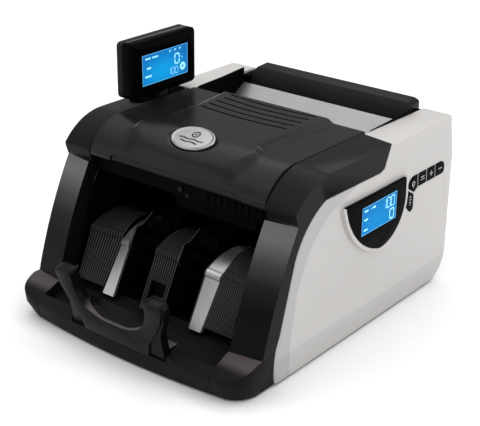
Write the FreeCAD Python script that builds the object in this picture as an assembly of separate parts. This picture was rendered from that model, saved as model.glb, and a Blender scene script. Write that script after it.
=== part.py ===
import FreeCAD, Part
import os
from math import cos, radians, sin, sqrt

# Desktop banknote counter, millimetres.  +Z up, the front (stacker side) faces -Y and +X is the
# machine's right.  The origin is the middle of the footprint, on the surface it stands on.

# ---------------------------------------------------------------- driving dimensions
NOTE_LENGTH = 190.0                      # longest note, which sets the clear width of the hopper
WALL = 2.5                               # moulded covers
SEAM = 0.3                               # gap between neighbouring covers
CLEAR = NOTE_LENGTH / 2                  # half the clear width
SIDE_X = CLEAR + 30                      # outer face of the side covers
FRAME_IN_X = CLEAR + 0.6                 # inner face of the front frames
COVER_IN_X = CLEAR + 1                   # inner edge of the white covers
REAR_Y = 158.0
NOSE_FOOT_Z = 2.0                        # underside of the nose
FLOOR_Z = 3.0                            # underside of the rest of the base
BASE_TOP_Z = 32.2                        # pads beside the stacker pocket
TOP_Z = 165.0                            # flat of the lid
LIP_Y, LIP_Z = -79.5, 141.0              # front edge of the lid and shoulders
LID_REAR_Y = 57.5
DOME_RISE = 3.2

HINGE_Y, HINGE_Z = 46.0, 157.5           # lid hinge, along X
IMPELLER_Y, IMPELLER_Z = -52.0, 62.0
IMPELLER_R = 31.0
EXIT_Y, EXIT_Z = -28.0, 112.0
PINCH_Z = EXIT_Z + 15.8
FEED_Y, FEED_Z = 50.0, 98.0
PLATE_TOP_Y, PLATE_TOP_Z = 130.5, 151.8  # upper edge of the hopper plate
PLATE_TILT = radians(32)
PLATE_LENGTH = 80.0
MOTOR_Y, MOTOR_Z = 82.0, 38.0
BELT_X = (-103.5, -108.5, -113.5)        # middle of each belt plane, outside the left plate

SWITCH_Y, SWITCH_Z = 152.5, 32.0         # rocker pivot, along X
KNOB_Z = 128.0                           # gap screw, along Y

DISPLAY_X = -107.5                       # customer display, swivel axis
DISPLAY_Y = 21.0
DISPLAY_SIZE = (19.5, 85.0, 51.5)        # thick, long, high
DISPLAY_BASE_Z = 168.4
KEY_TRAVEL = 1.0
KEY_FACE_X = SIDE_X + 0.5
KEY_BACK_X = SIDE_X - 5.5
BEZEL_FACE_X = 128.0

ARC = True                               # marks an outline point that an arc passes through
V = FreeCAD.Vector


# ---------------------------------------------------------------- shape helpers
def box(x0, x1, y0, y1, z0, z1):
    return Part.makeBox(x1 - x0, y1 - y0, z1 - z0, V(x0, y0, z0))


def rod_x(x0, x1, y, z, r):
    return Part.makeCylinder(r, x1 - x0, V(x0, y, z), V(1, 0, 0))


def rod_y(y0, y1, x, z, r):
    return Part.makeCylinder(r, y1 - y0, V(x, y0, z), V(0, 1, 0))


def rod_z(z0, z1, x, y, r):
    return Part.makeCylinder(r, z1 - z0, V(x, y, z0), V(0, 0, 1))


def tube_x(x0, x1, y, z, r, bore):
    return rod_x(x0, x1, y, z, r).cut(rod_x(x0 - 1, x1 + 1, y, z, bore))


def wire(points, place):
    """Closed wire through (a, b) points; one marked ARC is passed through by a round stretch."""
    edges = []
    start, middle = points[0], None
    for point in points[1:] + [points[0]]:
        if len(point) == 3:
            middle = point
            continue
        first, last = place(*start[:2]), place(*point[:2])
        if middle:
            edges.append(Part.Arc(first, place(*middle[:2]), last).toShape())
        else:
            edges.append(Part.makeLine(first, last))
        start, middle = point, None
    return Part.Wire(edges)


def side_wire(points, x, inset=0.0):
    """Outline in a YZ plane, drawn in from its edge by inset."""
    made = wire(points, lambda y, z: V(x, y, z))
    return made if not inset else Part.Face(made).makeOffset2D(-inset).Wires[0]


def side_prism(points, x0, x1, inset=0.0):
    return Part.Face(side_wire(points, x0, inset)).extrude(V(x1 - x0, 0, 0))


def plan_prism(points, z0, z1):
    return Part.Face(wire(points, lambda x, y: V(x, y, z0))).extrude(V(0, 0, z1 - z0))


def front_prism(points, y0, y1):
    return Part.Face(wire(points, lambda x, z: V(x, y0, z))).extrude(V(0, y1 - y0, 0))


def joined(shapes):
    first, *rest = shapes
    return first.fuse(rest).removeSplitter() if rest else first


def mirrored(shape):
    return shape.mirror(V(0, 0, 0), V(1, 0, 0))


def both_sides(shape):
    return Part.makeCompound([shape, mirrored(shape)])


def rounded(shape, radius, wanted):
    """Round the edges whose middle point is wanted."""
    edges = [e for e in shape.Edges if wanted(e.CenterOfMass)]
    return shape.makeFillet(radius, edges)


def turned_x(shape, y, z, degrees):
    """Turn about an axis along X through (y, z)."""
    made = shape.copy()
    made.rotate(V(0, y, z), V(1, 0, 0), degrees)
    return made


# ---------------------------------------------------------------- side outlines (y, z)
WHITE_SIDE = [
    (-98.7, 3), (-102.6, 24, ARC), (-96.6, 45), (-79.5, 101), (-65.5, 124, ARC), (-40, 141.6),
    (38, 140.4), (43.5, 142.5), (52.5, 163), (151, 161), (REAR_Y, 124), (REAR_Y, 30),
    (153.4, 14, ARC), (141, 3),
]
FRAME_BACK = [
    (-102.6, 32.5), (-96.9, 45), (-79.8, 101), (-65.8, 124.3, ARC), (-40, 141.9),
    (38, 140.7), (43.2, 142.8),
]


def frame_side(top_z, pillar_shift):
    """Shoulder, lip and pillar of a front frame; pillar_shift draws the pillar back."""
    return [
        (52.1, top_z), (-36, top_z + 0.4), (-61, top_z - 6, ARC), (LIP_Y, LIP_Z), (LIP_Y + 0.4, 138.4),
        (-76.5, 130.6), (-80.4 + pillar_shift, 130.2), (-104 + pillar_shift, 83, ARC),
        (-122 + pillar_shift, 32.5),
    ] + FRAME_BACK


LID_SIDE = [
    (LID_REAR_Y, 128), (LID_REAR_Y, TOP_Z - 0.8), (-38, TOP_Z), (-62, TOP_Z - 5.2, ARC),
    (LIP_Y, LIP_Z), (LIP_Y + 0.4, 138.4), (-73, 128),
]
DOME_SIDE = [
    (LID_REAR_Y, 128), (LID_REAR_Y, TOP_Z - 0.8 + DOME_RISE), (-34, TOP_Z + DOME_RISE),
    (-57, TOP_Z - 1, ARC), (-73.5, 149.6), (-71, 140), (-71, 128),
]
DOME_PLAN = [
    (60, LID_REAR_Y), (54, 15, ARC), (54, -28), (58, -46), (60, -60, ARC), (44, -71),
    (0, -73.5, ARC), (-44, -71), (-60, -60, ARC), (-58, -46), (-54, -28), (-54, 15, ARC),
    (-60, LID_REAR_Y),
]
MOON = [
    (-15, 126), (75, 126), (75.5, 112), (67.5, 87, ARC), (38, 73.2), (7, 89.5, ARC),
]


# ---------------------------------------------------------------- white covers
def side_relief():
    """Wedge taken off the side face below the front band; it fades out towards the rear."""
    depth, front, fade = 1.8, -100, 45
    wedge = plan_prism([(SIDE_X - depth, front), (SIDE_X + 0.2, fade), (SIDE_X + 3, fade),
                        (SIDE_X + 3, front)], 0, 140)
    area = side_prism([(-83, -5), (-83.5, 32), (-75, 76), (-62, 103, ARC), (-30, 131), (60, 131),
                       (60, -5)], SIDE_X - 5, SIDE_X + 5)
    return wedge.common(area)


def side_belt():
    """Sliver taken off the foot of the side face, which leans inwards below a crease."""
    crease_z, lean_in = 25.5, 1.6
    return front_prism([(SIDE_X - lean_in, 2), (SIDE_X, crease_z), (SIDE_X + 1, crease_z),
                        (SIDE_X + 1, 2)], -110, REAR_Y + 1)


def plain_side_cover():
    body = side_prism(WHITE_SIDE, COVER_IN_X, SIDE_X)
    body = rounded(body, 1.6, lambda c: c.x > SIDE_X - 0.1 and c.z > 60)
    hollow = side_prism(WHITE_SIDE, COVER_IN_X - 1, SIDE_X - WALL, WALL)
    body = body.cut([hollow, box(COVER_IN_X - 1, SIDE_X - WALL, -95, 140, 0, 12)])
    slope = front_prism([(COVER_IN_X - 1, 162.8), (SIDE_X + 1, 160.4), (SIDE_X + 1, 170),
                         (COVER_IN_X - 1, 170)], 40, REAR_Y + 1)
    return body.cut([slope, side_relief(), side_belt()])


def right_cover():
    """White cover with the raised rim that carries the display, and the key openings."""
    rim = Part.Face(Part.Face(side_wire(MOON, SIDE_X - 1)).makeOffset2D(3.4).Wires[0])
    rim = rim.extrude(V(BEZEL_FACE_X - 0.5 - SIDE_X + 1, 0, 0))
    rim = rim.cut(box(SIDE_X - 5, SIDE_X + 5, -30, 90, 126.1, 140))
    body = plain_side_cover().fuse(rim)
    pocket = side_prism(MOON, SIDE_X - 8, SIDE_X + 8, -0.15)
    keys = [side_prism(points, SIDE_X - 8, SIDE_X + 8, -0.4) for points in KEY_OUTLINES]
    return body.cut([pocket] + keys).removeSplitter()


# ---------------------------------------------------------------- side display and keys
KEY_OUTLINES = [
    [(82.3, 110.3), (92.3, 104.2), (92.6, 93), (91.2, 90.2, ARC), (88, 89.2), (81.8, 95)],
    [(82.6, 112.8), (86, 119.3, ARC), (92.2, 121.3), (97.2, 121.3), (98.3, 109.5), (93, 106.4)],
    [(100.2, 109.5), (112.6, 109.5), (111.8, 121.3), (99.2, 121.3)],
    [(114.6, 109.5), (127, 109.5), (126.2, 121.3), (113.8, 121.3)],
    [(129, 109.5), (139.5, 109.5), (142, 110.6, ARC), (143, 113.2), (141.6, 119, ARC),
     (136.5, 121.3), (128.2, 121.3)],
]


def key(outline):
    """Key cap with a wider foot behind the cover, which stops it falling out."""
    cap = side_prism(outline, KEY_BACK_X, KEY_FACE_X)
    foot = side_prism(outline, KEY_BACK_X, SIDE_X - WALL - 0.5, -0.6)
    return cap.fuse(foot).removeSplitter()


def side_boards():
    """Circuit boards behind the keys and behind the side display."""
    switches = []
    for outline in KEY_OUTLINES:
        middle = Part.Face(side_wire(outline, 0)).CenterOfMass
        switches.append(box(116.1, KEY_BACK_X - KEY_TRAVEL - 0.3,
                            middle.y - 3, middle.y + 3, middle.z - 3, middle.z + 3))
    key_board = joined([box(114.5, 116.1, 78, 148, 84, 127)] + switches)
    return Part.makeCompound([key_board, box(116.5, SIDE_X - 5, -8, 68, 86, 124)])


LCD_Y, LCD_Z = (8.0, 61.0), (93.5, 119.0)


def display_bezel():
    plate = side_prism(MOON, SIDE_X - 4.5, BEZEL_FACE_X)
    plate = rounded(plate, 0.5, lambda c: c.x > BEZEL_FACE_X - 0.01)
    window = box(SIDE_X - 6, BEZEL_FACE_X + 1, LCD_Y[0], LCD_Y[1], LCD_Z[0], LCD_Z[1])
    return plate.cut(window)


def side_lcd():
    return box(SIDE_X - 4.5, BEZEL_FACE_X - 0.4, LCD_Y[0] + 0.1, LCD_Y[1] - 0.1,
               LCD_Z[0] + 0.1, LCD_Z[1] - 0.1)


# ---------------------------------------------------------------- front frames
def front_frame():
    """Black frame of one side: shoulder, lip, pillar and the strip in front of the white cover."""
    inner = side_wire(frame_side(TOP_Z - 0.8, 0), FRAME_IN_X)
    outer = side_wire(frame_side(TOP_Z - 3, 4.5), SIDE_X - 0.2)
    body = Part.makeLoft([inner, outer], True, True)
    hollow = side_prism(frame_side(TOP_Z - 3, 4.5), FRAME_IN_X + 2, SIDE_X - WALL, WALL)
    way_out = [box(FRAME_IN_X - 1, FRAME_IN_X + 3, -60, 38, 146, 158),
               box(FRAME_IN_X + 4, SIDE_X - WALL - 2, -96, -70, 48, 92)]
    return body.cut([hollow, rod_x(90, CLEAR + 2.3, HINGE_Y, HINGE_Z, 1.5)] + way_out)


# ---------------------------------------------------------------- base
def nose_wire(z, half, corner, front, bulge):
    """Plan of the nose: straight sides, round corners and a bowed front."""
    side_y = front + corner
    mid = corner * (1 - sqrt(0.5))
    points = [
        (half, -94), (half, side_y), (half - mid, front + mid, ARC), (half - corner, front),
        (0, front - bulge, ARC), (corner - half, front), (mid - half, front + mid, ARC),
        (-half, side_y), (-half, -94),
    ]
    return wire(points, lambda x, y: V(x, y, z))


def base_tray():
    """Base with the nose that carries the pads and the bar in front of the stacker pocket."""
    top = nose_wire(BASE_TOP_Z, SIDE_X - 0.3, 21, -148.4, 0.6)
    waist = nose_wire(16, SIDE_X - 1, 21.5, -147.2, 1.5)
    foot = nose_wire(NOSE_FOOT_Z, SIDE_X - 3.5, 22, -140.2, 6.2)
    nose = Part.makeLoft([waist, top], True, True).fuse(Part.makeLoft([foot, waist], True, True))
    slope = side_prism([(-124, BASE_TOP_Z), (-160, 18.2), (-160, 45), (-124, 45)], -130, 130)
    seam = side_prism([(-160, 30), (-147.2, 24.5), (-146.3, 16), (-139.0, 1), (-160, 1)], CLEAR + 1,
                      CLEAR + 1.45)
    pocket = side_prism([(-139.5, 17), (-100, 27), (-90, 27), (-90, 45), (-139.5, 45)], -CLEAR, CLEAR)
    stop_slot = box(-52.5, 52.5, -160, -139, STOP_Z - 0.4, 45)
    slide_slot = box(-44, 44, -140, -96, STOP_Z - 0.4, STOP_Z + 2.5)
    well = box(-92, 92, -100, -93, 6.5, 45)
    cover = side_prism(WHITE_SIDE, COVER_IN_X - 0.4, SIDE_X + 5, -SEAM)
    nose = nose.cut([slope, pocket, stop_slot, slide_slot, well, cover, mirrored(cover), seam,
                     mirrored(seam)])
    floor_top = FLOOR_Z + 2.5
    floor = [box(-95, 95, -98, 155, FLOOR_Z, floor_top),
             box(-120.5, 120.5, -95, 138, FLOOR_Z, floor_top)]
    rails = [box(s * 119.5 - 1, s * 119.5 + 1, -95, 138, FLOOR_Z, 16) for s in (-1, 1)]
    return joined([nose] + floor + rails)


def foot_pads():
    """Four rubber pads, the front ones under the nose."""
    spots = [(x, y, top) for x in (-98, 98) for y, top in ((-118, NOSE_FOOT_Z), (128, FLOOR_Z))]
    return Part.makeCompound([rod_z(0, top, x, y, 10) for x, y, top in spots])


STOP_Z = 18.6                            # underside of the note stop and its tongue


STOP_FRONT_Y, STOP_PIVOT_Z = -150.5, 22.0
STOP_LEAN = 11                           # degrees, top towards the front
STOP_DEPTH = 9.8


def note_stop():
    """U-shaped stop that the counted notes lean on; it slides out for wide notes."""
    inner = [(0, 36.2), (18, 37.6, ARC), (29, 42), (37, 52, ARC), (39.8, 63), (40.2, 69.8),
             (41.5, 72, ARC), (44, 72.7), (54.6, 72.7)]
    foot = [(57.6, 71.3, ARC), (58.9, 68), (56.8, 57), (52.6, 48), (50.5, 42), (50.5, 12)]
    face = [(57.0, 71.2, ARC), (58, 68), (54.9, 57), (49.2, 46.7), (38.6, 31), (33.5, 12)]

    def both_halves(half):
        other = [(-point[0],) + point[1:] for point in reversed(half[1:])]
        return half + other

    behind_y, back_y = STOP_FRONT_Y + 2.3, STOP_FRONT_Y + STOP_DEPTH
    plate = front_prism(both_halves(inner + foot), behind_y, back_y)
    front = front_prism(both_halves(inner + face), STOP_FRONT_Y, behind_y)
    scoop = side_prism([(behind_y - 1, 30), (behind_y - 1, 36), (behind_y + 0.3, 36.8), (back_y, 48.2),
                        (back_y, 30)], -31, 31)
    plate = turned_x(joined([plate, front, scoop]), STOP_FRONT_Y, STOP_PIVOT_Z, STOP_LEAN)
    plate = plate.cut(box(-70, 70, -170, -130, 0, STOP_Z))
    tongue = box(-43, 43, -146, -106, STOP_Z, STOP_Z + 2)
    return joined([plate, tongue])


# ---------------------------------------------------------------- stacker
BLOCK_SHAFT_WAY = 5.5
BLOCK_MID = (-60.0, 55.0)
BAND_X = (41.0, 56.4)                    # plain inner band of a side block
RIBS_X = (56.4, 86.6)                    # ribbed outer part of a side block


def rib_side(ridge_y, ridge_z):
    """Side outline of a ribbed block whose front ridge is at (ridge_y, ridge_z)."""
    return [
        (-107.4, 33.6), (ridge_y, ridge_z - 4.7), (ridge_y + 0.9, ridge_z - 0.5, ARC),
        (ridge_y + 4.4, ridge_z + 1.6), (-66, 82.2, ARC), (-46, 81), (-26, 74), (-26, 60),
        (-88, 29.5), (-103, 31.4),
    ]


def side_rib(x):
    """Rib outline of a side block; its ridge runs forward and up towards the outside."""
    along = (x - RIBS_X[0]) / (RIBS_X[1] - RIBS_X[0])
    return rib_side(-82 - 8.4 * along, 73.4 + 2.7 * along)


def centre_rib(x):
    return rib_side(-88.3, 74.8)


def band_side(x):
    """Outline of the plain band; its ridge runs back and down towards the outside."""
    along = (x - 43) / 11
    y, z, top = -88.6 + 3.2 * along, 67.6 - 2.4 * along, 80.2 - 1.5 * along
    return [
        (-109.6, 29), (y, z), (y + 1.1, z + 4.5, ARC), (y + 4.4, z + 6.4), (-64, top, ARC),
        (-44, top - 0.6), (-26, 72), (-26, 60), (-90, 27.4), (-104, 27.4),
    ]


def drawn_in(points, depth):
    """Outline with every point moved by depth towards the middle of the block."""
    moved = []
    for y, z, *mark in points:
        dy, dz = BLOCK_MID[0] - y, BLOCK_MID[1] - z
        reach = sqrt(dy * dy + dz * dz)
        moved.append((y + dy / reach * depth, z + dz / reach * depth, *mark))
    return moved


def swept(side, x0, x1, depth=0.0):
    """Solid between the outlines that side gives at x0 and x1, drawn in by depth."""
    ends = [side_wire(drawn_in(side(x), depth), x) for x in (x0, x1)]
    return Part.makeLoft(ends, True, True)


def ribbed_block(side, x0, x1, count):
    """Block the notes are stacked against, with fine upright ribs on a slightly sunk core."""
    depth, land = 1.3, 0.52
    step = (x1 - x0) / (count - 1 + land)
    starts = [x0 + i * step for i in range(count)]
    ribs = [side_prism(side(x), x, x + land * step) for x in starts]
    return joined([swept(side, x0, x1, depth)] + ribs)


def stacker_block_side():
    """Right-hand side block; the band next to the impeller is plain and carries the strip."""
    shell = joined([swept(band_side, *BAND_X, 0.95), ribbed_block(side_rib, *RIBS_X, 13)])
    shaft_way = rod_x(30, 90, IMPELLER_Y, IMPELLER_Z, BLOCK_SHAFT_WAY)
    return shell.cut([side_prism(band_side(54), 44.5, RIBS_X[1] - 3.5, 5.0), shaft_way])


def guide_strip():
    """Bright steel strip bent over the inner side of a block."""
    x0, x1 = BAND_X[0] + 1.7, BAND_X[1] - 1.6
    ring = swept(band_side, x0, x1).cut(swept(band_side, x0 - 1, x1 + 1, 0.85))
    keep = side_prism([(-112, 28.5), (-112, 90), (-30, 90), (-30, 73), (-64, 74), (-80, 62),
                       (-102.5, 28.5)], x0, x1)
    return ring.common(keep)


def stacker_block_centre():
    body = ribbed_block(centre_rib, -12.4, 12.4, 11)
    window = box(-8.2, 8.2, -112, -88, 36.5, 52)
    ledge = box(-12.4, 12.4, -111, -98, 28, 34.5).common(side_prism(band_side(43), -13, 13))
    shaft_way = rod_x(-15, 15, IMPELLER_Y, IMPELLER_Z, BLOCK_SHAFT_WAY)
    return joined([body.cut([window, shaft_way]), ledge])


def exit_eyes():
    return [rod_y(-74.2, -69.5, 11, 125.2, 1.7), rod_y(-74.0, -69.5, 3, 129.0, 2.2)]


def note_sensors():
    """Window in the centre block and the pair of eyes on the exit beam."""
    return Part.makeCompound([box(-8, 8, -95, -91, 36.8, 51.8)] + exit_eyes())


def stripper_fin(x):
    """Thin finger that lifts a note out of the impeller."""
    outline = [(-89.2, 72), (-81.4, 85), (-74.5, 84.8), (-61.2, 92.3), (-58.6, 90), (-70, 78),
               (-79.6, 63.4), (-86.6, 66.4)]
    return side_prism(outline, x, x + 1.4)


def note_strippers():
    return Part.makeCompound([stripper_fin(-40.8), stripper_fin(12.7)])


def stacker_floor():
    """Sheet that closes the pocket under the blocks, with two slots for the impellers."""
    sheet = side_prism([(-99, 24.3), (-60, 22), (20, 22), (20, 23.2), (-60, 23.2), (-99, 25.6)],
                       -91.5, 91.5)
    slots = [box(min(s * 14, s * 39.5), max(s * 14, s * 39.5), -92, -15, 15, 30) for s in (-1, 1)]
    return sheet.cut(slots)


def stacker_back():
    """Dark wall behind the impellers, curved up to the exit, with a cheek at either side."""
    outline = [(18, 23.6), (-8, 55, ARC), (-14, 96), (-12, 96), (-5.5, 56, ARC), (20.5, 23.6)]
    cheek_side = [(-93.5, 23.6), (-93.5, 33), (-100, 33), (-98.5, 45), (-81.5, 101), (-67, 124),
                  (-50, 132), (-10, 132), (-10, 70), (18, 28), (18, 23.6)]
    cheek = side_prism(cheek_side, CLEAR - 0.7, CLEAR + 0.3)
    cheek = cheek.cut([rod_x(90, 100, y, z, r) for y, z, r in
                       ((IMPELLER_Y, IMPELLER_Z, 5.5), (EXIT_Y, EXIT_Z, 5.5), (EXIT_Y, PINCH_Z, 2.4))])
    return joined([side_prism(outline, -CLEAR + 0.5, CLEAR - 0.5), cheek, mirrored(cheek)])


def impeller(x0, x1):
    """Wheel with curved fingers that lay each note against the blocks."""
    hub_r, root = 13, IMPELLER_R / 3
    fin = side_prism([(IMPELLER_Y - root, IMPELLER_Z), (IMPELLER_Y - 22, IMPELLER_Z + 6, ARC),
                      (IMPELLER_Y - 27, IMPELLER_Z + 15), (IMPELLER_Y - 25.6, IMPELLER_Z + 15.8),
                      (IMPELLER_Y - 20, IMPELLER_Z + 7.8, ARC), (IMPELLER_Y - root, IMPELLER_Z + 2.4)],
                     x0, x1)
    hub = tube_x(x0, x1, IMPELLER_Y, IMPELLER_Z, hub_r, 4.0)
    count = 10
    fins = [turned_x(fin, IMPELLER_Y, IMPELLER_Z, 360 / count * i) for i in range(count)]
    return joined([hub] + fins)


def roller_group(spans, y, z, r, bore):
    return Part.makeCompound([tube_x(a, b, y, z, r, bore) for a, b in spans])


def exit_beam():
    """Beam under the lip with short ribs on its right half and an apron below it."""
    front, bottom = -72.5, 123.0
    end = CLEAR - 0.8
    beam = side_prism([(front, bottom), (front + 1, 134), (-40, 134.5), (-40, 132), (-67, 131),
                       (-67, bottom)], -end, end)
    ledge = box(25, 88, front - 1.4, front + 1, bottom - 1, bottom + 0.2)
    apron = front_prism([(-6, bottom + 1), (-6, 116), (-3.6, 112.6, ARC), (1, 111.2), (78, 111.2),
                         (78, bottom + 1)], -69, -67.5)
    ribs = [box(x - 0.9, x + 0.9, front - 0.8, front + 1, bottom + 1, 133) for x in range(31, 88, 7)]
    return joined([beam, ledge, apron] + ribs).cut(exit_eyes())


# ---------------------------------------------------------------- lid
def lid():
    outer = side_prism(LID_SIDE, -CLEAR + 0.4, CLEAR - 0.4)
    dome = plan_prism(DOME_PLAN, 120, 180).common(side_prism(DOME_SIDE, -70, 70))
    inner_plan = Part.Face(wire(DOME_PLAN, lambda x, y: V(x, y, 120))).makeOffset2D(-4)
    inner_dome = inner_plan.extrude(V(0, 0, 60)).common(side_prism(DOME_SIDE, -70, 70, 2.6))
    body = outer.fuse(dome)
    room = side_prism(LID_SIDE, -CLEAR + 2.8, CLEAR - 2.8, 2.6)
    below = side_prism(LID_SIDE, -CLEAR, CLEAR, 9)
    body = body.cut([room, inner_dome, below, box(-CLEAR, CLEAR, -90, 60, 120, 136.5)])
    body = body.cut([box(-CLEAR, CLEAR, 30, 60, 120, 153), box(-CLEAR, CLEAR, -70, 60, 120, 138)])
    lip_step = front_prism([(-66, 143.4), (66, 143.4), (71, 141.2), (71, 136), (-71, 136), (-71, 141.2)],
                           -82, -77.7)
    body = body.cut(lip_step)
    slots = []
    for i in range(5):
        y = 11.5 + 10.4 * i
        slots.append(box(-46, 46, y - 1.3, y + 1.3, 150, 175))
        slots += [rod_z(150, 175, x, y, 1.3) for x in (-46, 46)]
    ears = []
    for side in (-1, 1):
        a, b = sorted((side * 80, side * 88))
        arm = box(a, b, HINGE_Y - 4, HINGE_Y + 4, HINGE_Z, 163)
        ears.append(arm.fuse(rod_x(a, b, HINGE_Y, HINGE_Z, 4)))
    hole = rod_x(-CLEAR, CLEAR, HINGE_Y, HINGE_Z, 1.55)
    return joined([body.cut(slots)] + ears).cut([hole, badge_blank()])


def on_slope(shape):
    """Lay a shape drawn flat at the origin on the lid's front slope, where the badge sits."""
    shape.rotate(V(0, 0, 0), V(1, 0, 0), 19)
    shape.translate(V(0, -53, 165.0))
    return shape


def oval(a, b, z0, z1):
    face = Part.Face(Part.Wire(Part.Ellipse(V(0, 0, z0), a, b).toShape()))
    return face.extrude(V(0, 0, z1 - z0))


def badge_blank():
    return on_slope(oval(22.5, 15.6, -1.5, 2.4))


def badge():
    """Oval badge with a raised rim."""
    return badge_blank().cut(on_slope(oval(20.6, 13.7, 1.6, 3)))


def hinge_pins():
    return both_sides(rod_x(78, CLEAR + 2.3, HINGE_Y, HINGE_Z, 1.5))


# ---------------------------------------------------------------- frame plates and hopper
def frame_plate(bores):
    """Steel side plate that carries the shafts."""
    outline = [(-50, 10), (-50, 122), (-28, 136), (50, 136), (60, 150), (128, 146), (140, 120),
               (140, 10)]
    plate = side_prism(outline, CLEAR + 2.5, CLEAR + 4.0)
    return plate.cut([rod_x(90, 110, y, z, r) for y, z, r in bores])


def along_plate(s, above=0.0):
    """Point s down the hopper plate from its upper edge, and above it."""
    y = PLATE_TOP_Y - s * cos(PLATE_TILT) - above * sin(PLATE_TILT)
    z = PLATE_TOP_Z - s * sin(PLATE_TILT) + above * cos(PLATE_TILT)
    return y, z


PICKUP_Y, PICKUP_Z = along_plate(52, -10.5)
SHAFTS = [(IMPELLER_Y, IMPELLER_Z), (EXIT_Y, EXIT_Z), (FEED_Y, FEED_Z), (PICKUP_Y, PICKUP_Z)]
BORES = [(y, z, 7.1) for y, z in SHAFTS]


def hopper_plate():
    outline = [along_plate(0), along_plate(PLATE_LENGTH), along_plate(PLATE_LENGTH, -1.2),
               along_plate(0, -1.2)]
    plate = side_prism(outline, -CLEAR + 1, CLEAR - 1)
    slots = []
    for x in (-45, 45):
        slots.append(box(x - 9, x + 9, PICKUP_Y - 16, PICKUP_Y + 14, 90, 150))
    return plate.cut(slots)


def hopper_wall():
    """Black liner of the hopper's right side, standing a little proud of the white cover."""
    outline = [(58.5, 160.8), (66, 163.2), (100, 164), (132, 166), (132, 140), (58.5, 96)]
    wall = side_prism(outline, CLEAR - 0.2, CLEAR + 0.8)
    post = box(87.8, CLEAR + 0.8, 131, 152.3, 100, 159)
    holes = [rod_x(90, 100, PICKUP_Y, PICKUP_Z, 5.5), screw_hole(90, 140)]
    return joined([wall, post]).cut(holes)


def hopper_bar():
    """Bar across the back of the hopper that the notes lean on."""
    outline = [(131.4, 152.5), (141, 166.5), (154, 168.4), (157.6, 165.5), (157.6, 150), (131.4, 150)]
    bar = side_prism(outline, -87.5, 87.5)
    ends = front_prism([(82, 170), (88, 163.5), (89, 170)], 128, 160)
    return bar.cut([ends, mirrored(ends), side_prism(outline, -84, 84, WALL)])


COVER_SCREWS = [(x, z) for x in (-90, 90) for z in (16, 140)]


def screw_hole(x, z):
    return rod_y(144, 156, x, z, 1.6)


def rear_panel():
    panel = box(-COVER_IN_X + SEAM, COVER_IN_X - SEAM, 152.5, 155, 6.5, 149.6)
    inlet = box(-81.2, -52.8, 150, 158, 21.8, 42.2)
    switch = box(-40.2, -24.8, 150, 158, 20.8, 43.2)
    knob = rod_y(150, 158, 0, KNOB_Z, 4.0)
    vents = [box(15, 75, 150, 158, z, z + 3) for z in range(30, 62, 6)]
    screws = [screw_hole(x, z) for x, z in COVER_SCREWS]
    return panel.cut([inlet, switch, knob] + vents + screws)


def power_inlet():
    """Appliance inlet: a shroud open to the rear with three blades inside."""
    body = box(-81, -53, 135, 157, 22, 42)
    socket = box(-79, -55, 140, 158, 24.2, 39.8)
    blades = [box(x - 1, x + 1, 139, 150, z - 2, z + 2) for x, z in ((-73, 30), (-61, 30), (-67, 34.5))]
    return joined([body.cut(socket)] + blades)


def switch_frame():
    body = box(-40, -25, 138, 156.4, 21, 43)
    return body.cut([box(-38, -27, 142, 158, 23, 41), rod_x(-39.2, -25.8, SWITCH_Y, SWITCH_Z, 1.25)])


def switch_rocker():
    rocker = side_prism([(147, 23.8), (156, 23.8), (154.2, 32), (156, 40.2), (147, 40.2),
                         (144, 32, ARC)], -37.6, -27.4)
    pivot = rod_x(-38.9, -26.1, SWITCH_Y, SWITCH_Z, 1.2)
    return joined([turned_x(rocker, SWITCH_Y, SWITCH_Z, 8), pivot])


def gap_knob():
    """Knurled screw that sets the gap between the feed roller and the retard block."""
    head = rod_y(156.2, 157.9, 0, KNOB_Z, 8)
    flats = [rod_y(156, 158.2, 8.6 * cos(radians(a)), KNOB_Z + 8.6 * sin(radians(a)), 1.1)
             for a in range(0, 360, 24)]
    return joined([head.cut(flats), rod_y(120, 156.3, 0, KNOB_Z, 3.95)])


# ---------------------------------------------------------------- paper path
def feed_rollers():
    spans = [(x - 11, x + 11) for x in (-45, 0, 45)]
    return roller_group(spans, FEED_Y, FEED_Z, 16, 4.0)


def pickup_rollers():
    spans = [(x - 7, x + 7) for x in (-45, 45)]
    return roller_group(spans, PICKUP_Y, PICKUP_Z, 12, 4.0)


def exit_rollers():
    spans = [(x - 8, x + 8) for x in (-70, -26.5, 26.5, 70)]
    return roller_group(spans, EXIT_Y, EXIT_Z, 10, 4.0)


def retard_block():
    """Holder with rubber pads just above the feed rollers; it lets one note through at a time."""
    bridge = side_prism([(60, 122), (60, 144), (58, 144), (58, 134), (40, 134), (36, 118), (44, 115.2),
                         (56, 115.2)], -CLEAR + 1, CLEAR - 1)
    return bridge.cut([box(-88, -20, 41, 56, 118, 130), box(20, 88, 41, 56, 118, 130)])


def pinch_rollers():
    """Idle rollers on one axle above the exit rollers."""
    wheels = [rod_x(x - 6, x + 6, EXIT_Y, PINCH_Z, 5.5) for x in (-70, -26.5, 26.5, 70)]
    return joined([rod_x(-CLEAR - 2.4, CLEAR + 2.4, EXIT_Y, PINCH_Z, 2)] + wheels)


def lower_guide():
    """Curved sheet that leads notes from the feed rollers down to the exit rollers."""
    outline = [(31, 99), (12, 98, ARC), (-15, 100.5), (-15, 101.5), (12, 99.2, ARC), (31, 100.2)]
    return side_prism(outline, -CLEAR + 1, CLEAR - 1)


def sensor_bar():
    """Magnetic and ultraviolet heads under the note path."""
    bar = box(-60, 60, -8, 8, 84, 92)
    heads = [box(x - 6, x + 6, -5, 5, 92, 97) for x in (-40, -13, 13, 40)]
    return joined([bar] + heads)


# ---------------------------------------------------------------- drive
def pulley(y, z, r, plane):
    """Flanged pulley whose groove is in one of the belt planes."""
    x = BELT_X[plane]
    return rod_x(x - 2.2, x + 2.2, y, z, r + 0.8).cut(tube_x(x - 1.7, x + 1.7, y, z, r + 2, r))


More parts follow.
